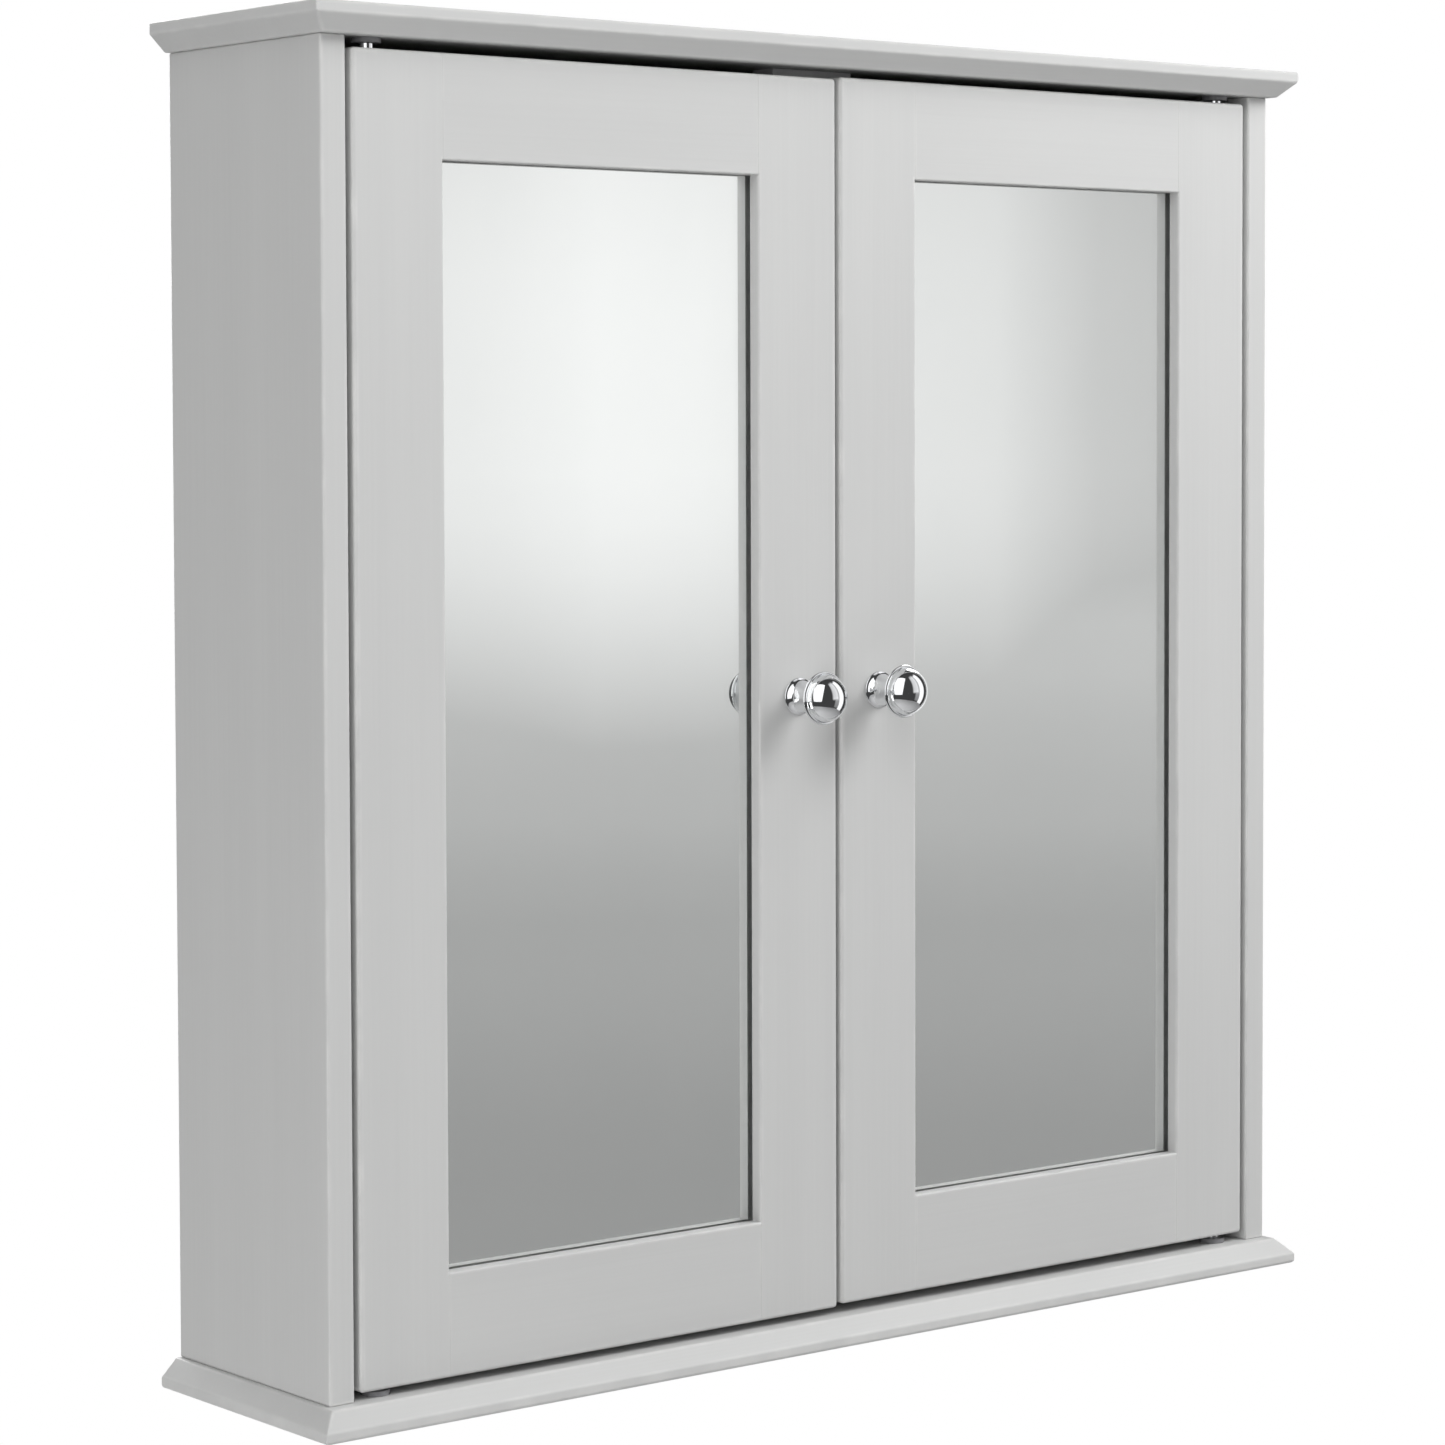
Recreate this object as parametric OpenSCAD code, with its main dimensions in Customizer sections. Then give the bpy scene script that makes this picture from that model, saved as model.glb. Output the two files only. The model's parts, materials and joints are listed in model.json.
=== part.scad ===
// Hanging wall cabinet with two mirrored doors that turn on pivot pins.
// Origin: middle of the row of wall screws, on the wall plane.
// +Z is up, +X is to the right and the doors face -Y.

/* [Cabinet] */
// Width over the crown and the base
cabinet_w = 560; // [500:10:700]
// Height from the underside of the base to the top of the crown
cabinet_h = 580; // [540:10:760]
// Depth from the wall to the front edge of the crown
cabinet_d = 130; // [125:5:180]
// How far the crown and the base stand out past each side
side_overhang = 9.5; // [9:0.5:14]
// How far the crown and the base stand out past the front of the sides
front_overhang = 12.5; // [9:0.5:16]
// Thickness of the carcase boards
board_t = 12; // [12:0.5:16]
// Height and width of the bevel of the crown and the base
bevel = 7.3; // [4:0.1:8]
// Thickness of the back panel
back_t = 3; // [3:0.5:5]
// Width of the rebate that holds the back panel
back_rebate_w = 6; // [5:0.5:7]

/* [Hanging rail] */
// Height of the hanging rail
rail_h = 60; // [50:5:80]
// Distance between the two wall screws
wall_screw_spacing = 400; // [300:20:420]
// Radius of each wall screw hole
wall_screw_r = 3; // [2.5:0.5:4]

/* [Shelves] */
// Thickness of a shelf
shelf_t = 9; // [8:1:15]
// Gap between the back panel and a shelf
shelf_back_gap = 1; // [0.5:0.5:3]
// Gap between the shelf and the backs of the doors
shelf_front_gap = 8; // [6:1:20]
// Distance from one pin hole to the next
pin_pitch = 32; // [25:1:32]
// Number of pin holes in each short row
pin_row_count = 3; // [1:2:3]

/* [Doors] */
// Thickness of the door frames
door_t = 16; // [16:0.5:18]
// Width of the stiles and the rails
frame_w = 44; // [40:1:55]
// Gap between a door and its side board
outer_gap = 3.2; // [3:0.1:4]
// Gap between the two doors
middle_gap = 2.6; // [2.4:0.1:5]
// Mean gap over the doors
top_gap = 4.2; // [4:0.1:5]
// Mean gap under the doors
bottom_gap = 3.8; // [3.8:0.1:5]
// How much lower the left door hangs than the right door
hang_difference = 1; // [0:0.1:1]
// Radius of the rounded outer arrises of the doors
door_arris_r = 2; // [1:0.5:4]

/* [Mirrors] */
// Depth from the face of the frame to the glass
lip_depth = 6; // [5:0.5:7]
// Width of the rebate around the mirror
mirror_rebate_w = 6; // [5:0.5:7]
// Thickness of the glass
glass_t = 3; // [3:0.5:4]
// Thickness of the backing board
backing_t = 3; // [2.5:0.5:3]

/* [Knobs] */
// Diameter of the rim of a knob
knob_d = 23.6; // [20:0.2:28]
// How far a knob stands out from the door
knob_projection = 27; // [25:1:32]
// Height of the knobs above the middle of the doors
knob_rise = 1.4; // [0:0.2:40]

/* [Hidden] */
$fn = 64;
left = -1;
right = 1;

paint = [0.78, 0.79, 0.79];
board_brown = [0.55, 0.43, 0.32];
beech = [0.83, 0.70, 0.52];
bright_steel = [0.80, 0.80, 0.82];
zinc = [0.66, 0.67, 0.69];
grey_plastic = [0.56, 0.57, 0.58];
ferrite = [0.20, 0.20, 0.21];
clear_glass = [0.70, 0.82, 0.79, 0.5];
silvering = [0.88, 0.90, 0.91];

cut = 0.1; // how far a cutting solid runs past the face that it cuts

// Carcase, measured from the underside of the base
carcase_w = cabinet_w - 2 * side_overhang;
carcase_d = cabinet_d - front_overhang;
inner_w = carcase_w - 2 * board_t;
inner_x = inner_w / 2;
crown_z = cabinet_h - board_t;
screw_row_z = crown_z - rail_h / 2;
back_w = inner_w + 2 * back_rebate_w;
back_fit = 0.3;

// Doors
door_w = (inner_w - 2 * outer_gap - middle_gap) / 2;
door_h = crown_z - board_t - top_gap - bottom_gap;
door_x = middle_gap / 2;
door_back_y = -carcase_d + door_t;
knob_x = door_x + frame_w / 2;
knob_z = door_h / 2 + knob_rise;

// Door pivots: pin, flanged bushes in the carcase and plain ones sunk in the door
pivot_inset = 12;
pivot_x = inner_x - outer_gap - pivot_inset;
pivot_y = -carcase_d + door_t / 2;
pin_r = 3;
pin_clearance = 0.05;
bush_r = 4.5;
bush_flange_r = 6;
bush_flange_t = 2.2;
carcase_bush_depth = 9;
door_bush_depth = 14;
pin_reach = 8;

// Shelves and their pins
shelf_end_gap = 1.6;
shelf_y = -back_t - shelf_back_gap;
shelf_d = -door_back_y - shelf_front_gap + shelf_y;
shelf_levels = [for (part = [1, 2]) board_t + part * (crown_z - board_t) / 3];
pin_columns = [shelf_y - 16, shelf_y - shelf_d + 14];
shelf_pin_r = 2.5;
shelf_pin_depth = 8;
shelf_pin_reach = 8;
shelf_pin_collar_r = 3.6;
shelf_pin_collar_t = 1.2;

// Cams that pull the crown and the base onto the sides
cam_columns = [-30, -carcase_d + 30];
cam_setback = 24;
cam_r = 7.5;
cam_depth = 10;
cam_bolt_r = 2.5;
cam_bolt_head_r = 3;
cam_bolt_hold = 8;
cam_pocket_r = 3.2;

// Dowels
carcase_dowel_r = 4;
carcase_dowel_hold = 8;
carcase_dowel_run = 18;
rail_dowel_r = 3;
frame_dowel_r = 3;
frame_dowel_hold = 15;
frame_dowel_offsets = [14, 34];

// Magnetic catch under the crown
catch_w = 45;
catch_d = 14;
catch_bridge_t = 3;
catch_block_w = 11.5;
catch_block_h = 15;
catch_front_y = door_back_y + 2.1;
magnet_w = 6.6;
magnet_h = 10;
magnet_d = 10;
magnet_top_gap = 3.5;
pole_t = 0.9;
pole_proud = 0.5;
catch_block_x = (catch_w - catch_block_w) / 2;
catch_screw_x = 5;

// Strike plate on the back of each latch stile
strike_w = 16;
strike_h = 20;
strike_t = 1.2;
strike_drop = 1.5;

// Small fasteners
panel_pin_r = 0.6;
panel_pin_length = 14;
wood_screw_r = 1.5;
pan_head_r = 3;
pan_head_t = 1.6;
knob_screw_r = 2;
knob_screw_head_r = 4;
knob_screw_head_t = 2.5;

// Mirror package
mirror_fit = 1;
silver_t = 0.3;
opening_w = door_w - 2 * frame_w;
opening_h = door_h - 2 * frame_w;
glass_y = -carcase_d + lip_depth;
backing_y = glass_y + glass_t + silver_t;
recess = door_back_y - backing_y - backing_t;
clip_w = 12;
clip_t = 1;
clip_foot = 11;
clip_tongue = 8;

// Puts a shape that is measured from the underside of the base in its place on the wall
module hung() {
  translate([0, 0, -screw_row_z]) children();
}

// Puts a shape drawn for the right door, measured from its lower edge, on either door
module on_door(hand) {
  hung()
    translate([0, 0, board_t + bottom_gap + hand * hang_difference / 2])
      mirror([hand == left ? 1 : 0, 0, 0])
        children();
}

// Draws the same shape on the left and on the right
module both_sides() {
  children();
  mirror([1, 0, 0]) children();
}

// A cylinder that starts at its child frame's origin and runs along +Y
module rod_y(r, length) {
  rotate([-90, 0, 0]) cylinder(r = r, h = length);
}

// Pan head and shank of a screw that goes in along -Y, its head resting on y = 0
module pan_screw(r, length, head_r, head_t) {
  rotate([90, 0, 0]) cylinder(r = r, h = length);
  rod_y(head_r, head_t);
}

// ---- Carcase ----

// Flat board with a bevel along its left, front and right lower arrises
module bevelled_board() {
  half = cabinet_w / 2;
  intersection() {
    rotate([90, 0, 0])
      linear_extrude(cabinet_d)
        polygon([[-half, board_t], [half, board_t], [half, bevel],
                 [half - bevel, 0], [bevel - half, 0], [-half, bevel]]);
    rotate([90, 0, 90])
      linear_extrude(cabinet_w, center = true)
        polygon([[0, board_t], [-cabinet_d, board_t], [-cabinet_d, bevel],
                 [bevel - cabinet_d, 0], [0, 0]]);
  }
}

// Room for the back panel
module back_rebate() {
  translate([-back_w / 2, -back_t, board_t - back_rebate_w])
    cube([back_w, back_t + cut, crown_z - board_t + 2 * back_rebate_w]);
}

module pivot_holes() {
  both_sides()
    translate([pivot_x, pivot_y, 0]) {
      translate([0, 0, crown_z - cut]) cylinder(r = bush_r, h = carcase_bush_depth + cut);
      translate([0, 0, board_t - carcase_bush_depth])
        cylinder(r = bush_r, h = carcase_bush_depth + cut);
    }
}

module crown() {
  color(paint) hung() difference() {
    translate([0, 0, crown_z]) bevelled_board();
    back_rebate();
    pivot_holes();
    cam_bolt_solids();
    carcase_dowel_solids();
    panel_pin_solids();
    catch_screw_solids();
  }
}

module base() {
  color(paint) hung() difference() {
    translate([0, 0, board_t]) mirror([0, 0, 1]) bevelled_board();
    back_rebate();
    pivot_holes();
    cam_bolt_solids();
    carcase_dowel_solids();
    panel_pin_solids();
  }
}

// Holes for the shelf pins, in short rows about each shelf
module shelf_pin_holes() {
  half_row = (pin_row_count - 1) / 2;
  for (level = shelf_levels, y = pin_columns, row = [-half_row : half_row])
    translate([inner_x - cut, y, level - shelf_pin_r + row * pin_pitch])
      rotate([0, 90, 0]) cylinder(r = shelf_pin_r, h = shelf_pin_depth + cut);
}

// Round seats for the cams, in the inner face of a side
module cam_seats() {
  for (y = cam_columns, z = [board_t + cam_setback, crown_z - cam_setback])
    translate([inner_x - cut, y, z]) rotate([0, 90, 0]) cylinder(r = cam_r, h = cam_depth + cut);
}

module side_board() {
  difference() {
    translate([inner_x, -carcase_d, board_t]) cube([board_t, carcase_d, crown_z - board_t]);
    back_rebate();
    shelf_pin_holes();
    cam_seats();
    cam_bolt_solids();
    carcase_dowel_solids();
    rail_dowel_solids();
    panel_pin_solids();
  }
}

module side_left() {
  color(paint) hung() mirror([1, 0, 0]) side_board();
}

module side_right() {
  color(paint) hung() side_board();
}

// Holes for the wall screws, through the hanging rail and the back panel
module wall_screw_holes() {
  both_sides()
    translate([wall_screw_spacing / 2, -back_t - board_t - cut, screw_row_z])
      rod_y(wall_screw_r, back_t + board_t + 2 * cut);
}

module back_panel() {
  color(board_brown) hung() difference() {
    translate([back_fit - back_w / 2, -back_t, board_t - back_rebate_w + back_fit])
      cube([back_w - 2 * back_fit, back_t,
            crown_z - board_t + 2 * back_rebate_w - 2 * back_fit]);
    wall_screw_holes();
    panel_pin_solids();
  }
}

// Small round-headed pins around the edge of the back panel, flush with its back
module panel_pin_solids() {
  edge_x = back_w / 2 - back_rebate_w / 2;
  low_z = board_t - back_rebate_w / 2;
  high_z = crown_z + back_rebate_w / 2;
  mid_z = (low_z + high_z) / 2;
  places = concat(
    [for (x = [-edge_x, edge_x], part = [-0.8, -0.28, 0.28, 0.8])
      [x, mid_z + part * (high_z - low_z) / 2]],
    [for (z = [low_z, high_z], x = [-0.3, 0, 0.3]) [x * back_w, z]]);
  for (place = places)
    translate([place[0], 0, place[1]]) {
      rotate([90, 0, 0]) cylinder(r = panel_pin_r, h = panel_pin_length, $fn = 16);
      rotate([90, 0, 0]) cylinder(r = 2 * panel_pin_r, h = panel_pin_r, $fn = 16);
    }
}

module panel_pins() {
  color(bright_steel) hung() panel_pin_solids();
}

module hanging_rail() {
  color(paint) hung() difference() {
    translate([-inner_x, -back_t - board_t, crown_z - rail_h]) cube([inner_w, board_t, rail_h]);
    wall_screw_holes();
    both_sides() rail_dowel_solids();
  }
}

module shelf(level) {
  color(paint) hung()
    translate([shelf_end_gap - inner_x, shelf_y - shelf_d, level])
      cube([inner_w - 2 * shelf_end_gap, shelf_d, shelf_t]);
}

module shelf_pins() {
  color(bright_steel) hung() both_sides()
    for (level = shelf_levels, y = pin_columns)
      translate([inner_x, y, level - shelf_pin_r]) {
        translate([-shelf_pin_reach, 0, 0]) rotate([0, 90, 0])
          cylinder(r = shelf_pin_r, h = shelf_pin_reach + shelf_pin_depth);
        translate([-shelf_pin_collar_t, 0, 0]) rotate([0, 90, 0])
          cylinder(r = shelf_pin_collar_r, h = shelf_pin_collar_t);
      }
}

// Dowels that locate the sides in the crown and the base
module carcase_dowel_solids() {
  both_sides()
    for (z = [board_t - carcase_dowel_hold, crown_z - carcase_dowel_run])
      translate([inner_x + board_t / 2, -carcase_d / 2, z])
        cylinder(r = carcase_dowel_r, h = carcase_dowel_hold + carcase_dowel_run);
}

// Dowels between one end of the hanging rail and the right side
module rail_dowel_solids() {
  for (part = [0.25, 0.75])
    translate([inner_x - 2 * carcase_dowel_hold, -back_t - board_t / 2, crown_z - part * rail_h])
      rotate([0, 90, 0]) cylinder(r = rail_dowel_r, h = 3 * carcase_dowel_hold);
}

module carcase_dowels() {
  color(beech) hung() {
    carcase_dowel_solids();
    both_sides() rail_dowel_solids();
  }
}

// Eccentric cam: a disc with a pocket for the head of its bolt and a cross slot
module cam() {
  slot_l = 9;
  slot_w = 1.6;
  slot_d = 2;
  difference() {
    rotate([0, 90, 0]) cylinder(r = cam_r, h = cam_depth);
    translate([board_t / 2, 0, 0]) cylinder(r = cam_pocket_r, h = cam_r + cut);
    for (turn = [45, 135])
      translate([-cut, 0, 0]) rotate([turn, 0, 0]) translate([0, -slot_w / 2, -slot_l / 2])
        cube([slot_d + cut, slot_w, slot_l]);
  }
}

module cams() {
  color(zinc) hung() both_sides()
    for (y = cam_columns) {
      translate([inner_x, y, crown_z - cam_setback]) cam();
      translate([inner_x, y, board_t + cam_setback]) mirror([0, 0, 1]) cam();
    }
}

// Bolt that stands out of the crown or the base and ends in the pocket of a cam
module cam_bolt() {
  head_h = 3;
  translate([0, 0, -cam_setback + cam_bolt_head_r])
    cylinder(r = cam_bolt_head_r, h = head_h);
  translate([0, 0, -cam_setback + cam_bolt_head_r])
    cylinder(r = cam_bolt_r, h = cam_setback - cam_bolt_head_r + cam_bolt_hold);
}

module cam_bolt_solids() {
  both_sides()
    for (y = cam_columns) {
      translate([inner_x + board_t / 2, y, crown_z]) cam_bolt();
      translate([inner_x + board_t / 2, y, board_t]) mirror([0, 0, 1]) cam_bolt();
    }
}

module cam_bolts() {
  color(bright_steel) hung() cam_bolt_solids();
}

// ---- Pivots ----

// Bush let into a board from z = 0, where its flange stands up if it has one
module bush(depth, bore_r, flange_t = 0) {
  floor_t = 0.8;
  difference() {
    union() {
      translate([0, 0, -depth]) cylinder(r = bush_r, h = depth);
      if (flange_t > 0) cylinder(r = bush_flange_r, h = flange_t);
    }
    translate([0, 0, floor_t - depth]) cylinder(r = bore_r, h = depth + flange_t);
  }
}

module pivot_bushes() {
  color(grey_plastic) hung() both_sides()
    translate([pivot_x, pivot_y, 0]) {
      translate([0, 0, board_t])
        bush(carcase_bush_depth, pin_r + pin_clearance, bush_flange_t);
      translate([0, 0, crown_z]) mirror([0, 0, 1])
        bush(carcase_bush_depth, pin_r + pin_clearance, bush_flange_t);
    }
}

module door_bushes(hand) {
  color(grey_plastic) on_door(hand)
    translate([pivot_x, pivot_y, 0]) {
      translate([0, 0, door_h]) bush(door_bush_depth, pin_r);
      mirror([0, 0, 1]) bush(door_bush_depth, pin_r);
    }
}

// Two pins, pressed into the bushes of the door and turning in those of the carcase
module pivot_pins(hand) {
  held = 13;
  top_run = top_gap - hand * hang_difference / 2 + pin_reach;
  bottom_run = bottom_gap + hand * hang_difference / 2 + pin_reach;
  color(bright_steel) on_door(hand)
    translate([pivot_x, pivot_y, 0]) {
      translate([0, 0, door_h - held]) cylinder(r = pin_r, h = held + top_run);
      translate([0, 0, -bottom_run]) cylinder(r = pin_r, h = held + bottom_run);
    }
}

// ---- Door frames ----

// Room for the mirror and its backing, open to the back of the door
module mirror_rebate() {
  translate([door_x + frame_w - mirror_rebate_w, glass_y, frame_w - mirror_rebate_w])
    cube([opening_w + 2 * mirror_rebate_w, door_t - lip_depth + cut,
          opening_h + 2 * mirror_rebate_w]);
}

// Section of a stile, rounded along its outer arrises, with the outer edge at x = 0
module stile_section() {
  r = door_arris_r;
  translate([-frame_w, -carcase_d]) {
    square([frame_w - r, door_t]);
    translate([0, r]) square([frame_w, door_t - 2 * r]);
    for (y = [r, door_t - r])
      translate([frame_w - r, y]) circle(r = r);
  }
}

module hinge_stile(hand) {
  color(paint) on_door(hand) difference() {
    translate([door_x + door_w, 0, 0]) linear_extrude(door_h) stile_section();
    mirror_rebate();
    frame_dowel_solids();
    translate([pivot_x, pivot_y, -cut]) cylinder(r = bush_r, h = door_bush_depth + cut);
    translate([pivot_x, pivot_y, door_h - door_bush_depth])
      cylinder(r = bush_r, h = door_bush_depth + cut);
    clip_screw_solids();
  }
}

module latch_stile(hand) {
  color(paint) on_door(hand) difference() {
    translate([door_x, 0, 0]) mirror([1, 0, 0]) linear_extrude(door_h) stile_section();
    mirror_rebate();
    frame_dowel_solids();
    clip_screw_solids();
    knob_screw_solid();
    strike_screw_solid();
  }
}

module rail(hand, low_z) {
  color(paint) on_door(hand) difference() {
    translate([door_x + frame_w, -carcase_d, low_z]) cube([opening_w, door_t, frame_w]);
    mirror_rebate();
    frame_dowel_solids();
    clip_screw_solids();
  }
}

// Two dowels across each joint between a stile and a rail
module frame_dowel_solids() {
  heights = concat([for (offset = frame_dowel_offsets) frame_w - offset],
                   [for (offset = frame_dowel_offsets) door_h - frame_w + offset]);
  for (x = [door_x + frame_w, door_x + door_w - frame_w], z = heights)
    translate([x - frame_dowel_hold, -carcase_d + door_t / 2, z])
      rotate([0, 90, 0]) cylinder(r = frame_dowel_r, h = 2 * frame_dowel_hold);
}

module frame_dowels(hand) {
  color(beech) on_door(hand) frame_dowel_solids();
}

// ---- Mirrors ----

// Sheet that fills the mirror rebate, less the fitting gap
module mirror_sheet(y, thickness) {
  grow = mirror_rebate_w - mirror_fit;
  translate([door_x + frame_w - grow, y, frame_w - grow])
    cube([opening_w + 2 * grow, thickness, opening_h + 2 * grow]);
}

module mirror_glass(hand) {
  color(clear_glass) on_door(hand) mirror_sheet(glass_y, glass_t);
}

module mirror_silver(hand) {
  color(silvering) on_door(hand) mirror_sheet(glass_y + glass_t, silver_t);
}

module mirror_backing(hand) {
  color(board_brown) on_door(hand) mirror_sheet(backing_y, backing_t);
}

// Puts a clip at each place around the mirror: +X points to the middle of the mirror
module at_clips() {
  low_x = door_x + frame_w - mirror_rebate_w;
  high_x = door_x + door_w - frame_w + mirror_rebate_w;
  low_z = frame_w - mirror_rebate_w;
  high_z = door_h - low_z;
  mid_x = (low_x + high_x) / 2;
  for (part = [0.12, 0.37, 0.63, 0.88]) {
    translate([low_x, door_back_y, part * door_h]) children();
    translate([high_x, door_back_y, part * door_h]) rotate([0, 180, 0]) children();
  }
  translate([mid_x, door_back_y, low_z]) rotate([0, -90, 0]) children();
  translate([mid_x, door_back_y, high_z]) rotate([0, 90, 0]) children();
}

// Offset clip: its foot lies on the frame, its tongue presses on the backing board
module mirror_clips(hand) {
  leg_x = 0.4;
  color(zinc) on_door(hand) difference() {
    at_clips()
      translate([0, 0, -clip_w / 2])
        linear_extrude(clip_w)
          polygon([[-clip_foot, 0], [leg_x, 0], [leg_x, -recess], [clip_tongue, -recess],
                   [clip_tongue, clip_t - recess], [leg_x + clip_t, clip_t - recess],
                   [leg_x + clip_t, clip_t], [-clip_foot, clip_t]]);
    clip_screw_solids();
  }
}

module clip_screw_solids() {
  length = 8;
  at_clips()
    translate([-clip_foot / 2, clip_t, 0])
      pan_screw(wood_screw_r, length + clip_t, pan_head_r, pan_head_t);
}

module clip_screws(hand) {
  color(bright_steel) on_door(hand) clip_screw_solids();
}

// ---- Knobs ----

// Half section of the knob: foot, hollow-curved neck, rim and domed head
module knob_section() {
  foot_r = 0.35 * knob_d;
  neck_r = 0.19 * knob_d;
  rim_r = knob_d / 2;
  rim_t = 1.4;
  dome_h = 0.33 * knob_projection;
  rim_h = knob_projection - dome_h - rim_t;
  dome_a = rim_r - 2.2;
  dome_r = (dome_a * dome_a + dome_h * dome_h) / (2 * dome_h);
  steps = 12;
  waist = [for (i = [0 : steps]) let (t = i / steps)
    [neck_r + (foot_r - neck_r) * pow(1 - t, 3) + (rim_r - 1 - neck_r) * pow(t, 4),
     1.2 + t * (rim_h - 1.2)]];
  polygon(concat([[0, 0], [foot_r, 0]], waist, [[0, rim_h]]));
  translate([0, rim_h]) square([rim_r, rim_t]);
  intersection() {
    translate([0, knob_projection - dome_r]) circle(r = dome_r);
    translate([0, rim_h + rim_t]) square([rim_r, dome_h]);
  }
}

module knob(hand) {
  color(bright_steel) on_door(hand) difference() {
    translate([knob_x, -carcase_d, knob_z])
      rotate([90, 0, 0]) rotate_extrude($fn = 96) knob_section();
    knob_screw_solid();
  }
}

module knob_screw_solid() {
  into_knob = 9;
  translate([knob_x, door_back_y, knob_z])
    pan_screw(knob_screw_r, door_t + into_knob, knob_screw_head_r, knob_screw_head_t);
}

module knob_screw(hand) {
  color(bright_steel) on_door(hand) knob_screw_solid();
}

// ---- Catch ----

module catch_body() {
  clearance = 0.1;
  pocket_w = magnet_w + 2 * pole_t + 4 * clearance;
  color(grey_plastic) hung() difference() {
    translate([0, catch_front_y, crown_z]) {
      translate([-catch_w / 2, 0, -catch_bridge_t]) cube([catch_w, catch_d, catch_bridge_t]);
      both_sides()
        translate([catch_block_x - catch_block_w / 2, 0, -catch_block_h])
          cube([catch_block_w, catch_d, catch_block_h]);
    }
    both_sides()
      translate([catch_block_x - pocket_w / 2, catch_front_y - cut,
                 crown_z - magnet_top_gap - magnet_h])
        cube([pocket_w, magnet_d + cut, magnet_h]);
    catch_screw_solids();
  }
}

module catch_magnets() {
  color(ferrite) hung() both_sides()
    translate([catch_block_x - magnet_w / 2, catch_front_y,
               crown_z - magnet_top_gap - magnet_h])
      cube([magnet_w, magnet_d, magnet_h]);
}

module catch_pole_plates() {
  color(bright_steel) hung() both_sides()
    for (x = [catch_block_x - magnet_w / 2 - pole_t, catch_block_x + magnet_w / 2])
      translate([x, catch_front_y - pole_proud, crown_z - magnet_top_gap - magnet_h])
        cube([pole_t, magnet_d + pole_proud, magnet_h]);
}

module catch_screw_solids() {
  length = 9;
  both_sides()
    translate([catch_screw_x, catch_front_y + catch_d / 2, crown_z - catch_bridge_t]) {
      cylinder(r = wood_screw_r, h = catch_bridge_t + length);
      translate([0, 0, -pan_head_t]) cylinder(r = pan_head_r, h = pan_head_t);
    }
}

module catch_screws() {
  color(bright_steel) hung() catch_screw_solids();
}

module strike_plate(hand) {
  color(bright_steel) on_door(hand) difference() {
    translate([catch_block_x - strike_w / 2, door_back_y, door_h - strike_drop - strike_h])
      cube([strike_w, strike_t, strike_h]);
    strike_screw_solid();
  }
}

module strike_screw_solid() {
  length = 10;
  translate([catch_block_x, door_back_y + strike_t, door_h - strike_drop - 0.7 * strike_h])
    pan_screw(wood_screw_r, length + strike_t, pan_head_r, pan_head_t);
}

module strike_screw(hand) {
  color(bright_steel) on_door(hand) strike_screw_solid();
}

crown();
base();
side_left();
side_right();
back_panel();
panel_pins();
hanging_rail();
shelf(shelf_levels[1]);  // shelf_upper
shelf(shelf_levels[0]);  // shelf_lower
shelf_pins();
carcase_dowels();
cams();
cam_bolts();
pivot_bushes();
catch_body();
catch_magnets();
catch_pole_plates();
catch_screws();

hinge_stile(left);  // left_hinge_stile
latch_stile(left);  // left_latch_stile
rail(left, door_h - frame_w);  // left_top_rail
rail(left, 0);  // left_bottom_rail
frame_dowels(left);  // left_frame_dowels
mirror_glass(left);  // left_mirror_glass
mirror_silver(left);  // left_mirror_silver
mirror_backing(left);  // left_mirror_backing
mirror_clips(left);  // left_mirror_clips
clip_screws(left);  // left_clip_screws
knob(left);  // left_knob
knob_screw(left);  // left_knob_screw
strike_plate(left);  // left_strike_plate
strike_screw(left);  // left_strike_screw
door_bushes(left);  // left_door_bushes
pivot_pins(left);  // left_pivot_pins

hinge_stile(right);  // right_hinge_stile
latch_stile(right);  // right_latch_stile
rail(right, door_h - frame_w);  // right_top_rail
rail(right, 0);  // right_bottom_rail
frame_dowels(right);  // right_frame_dowels
mirror_glass(right);  // right_mirror_glass
mirror_silver(right);  // right_mirror_silver
mirror_backing(right);  // right_mirror_backing
mirror_clips(right);  // right_mirror_clips
clip_screws(right);  // right_clip_screws
knob(right);  // right_knob
knob_screw(right);  // right_knob_screw
strike_plate(right);  // right_strike_plate
strike_screw(right);  // right_strike_screw
door_bushes(right);  // right_door_bushes
pivot_pins(right);  // right_pivot_pins
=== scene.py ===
import json
import math

import bmesh
import bpy
from mathutils import Matrix, Vector


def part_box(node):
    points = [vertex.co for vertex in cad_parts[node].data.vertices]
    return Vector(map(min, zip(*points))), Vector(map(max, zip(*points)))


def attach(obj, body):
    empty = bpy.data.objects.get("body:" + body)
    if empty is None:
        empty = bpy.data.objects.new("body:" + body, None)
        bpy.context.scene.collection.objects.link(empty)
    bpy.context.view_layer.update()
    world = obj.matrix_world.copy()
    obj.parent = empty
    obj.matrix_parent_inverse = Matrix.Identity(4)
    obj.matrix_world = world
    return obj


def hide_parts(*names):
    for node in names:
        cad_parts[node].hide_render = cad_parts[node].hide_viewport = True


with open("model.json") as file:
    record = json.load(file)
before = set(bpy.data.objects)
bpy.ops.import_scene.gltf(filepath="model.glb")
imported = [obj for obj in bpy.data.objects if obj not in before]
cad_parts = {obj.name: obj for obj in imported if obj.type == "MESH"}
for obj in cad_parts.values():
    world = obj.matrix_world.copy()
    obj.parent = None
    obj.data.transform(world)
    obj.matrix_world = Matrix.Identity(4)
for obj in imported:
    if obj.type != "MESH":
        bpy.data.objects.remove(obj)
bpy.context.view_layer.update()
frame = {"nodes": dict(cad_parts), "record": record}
mm = 0.001
hands = ("left", "right")
bodyOf = {"left": "left_door", "right": "right_door"}


# mesh helpers

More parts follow.
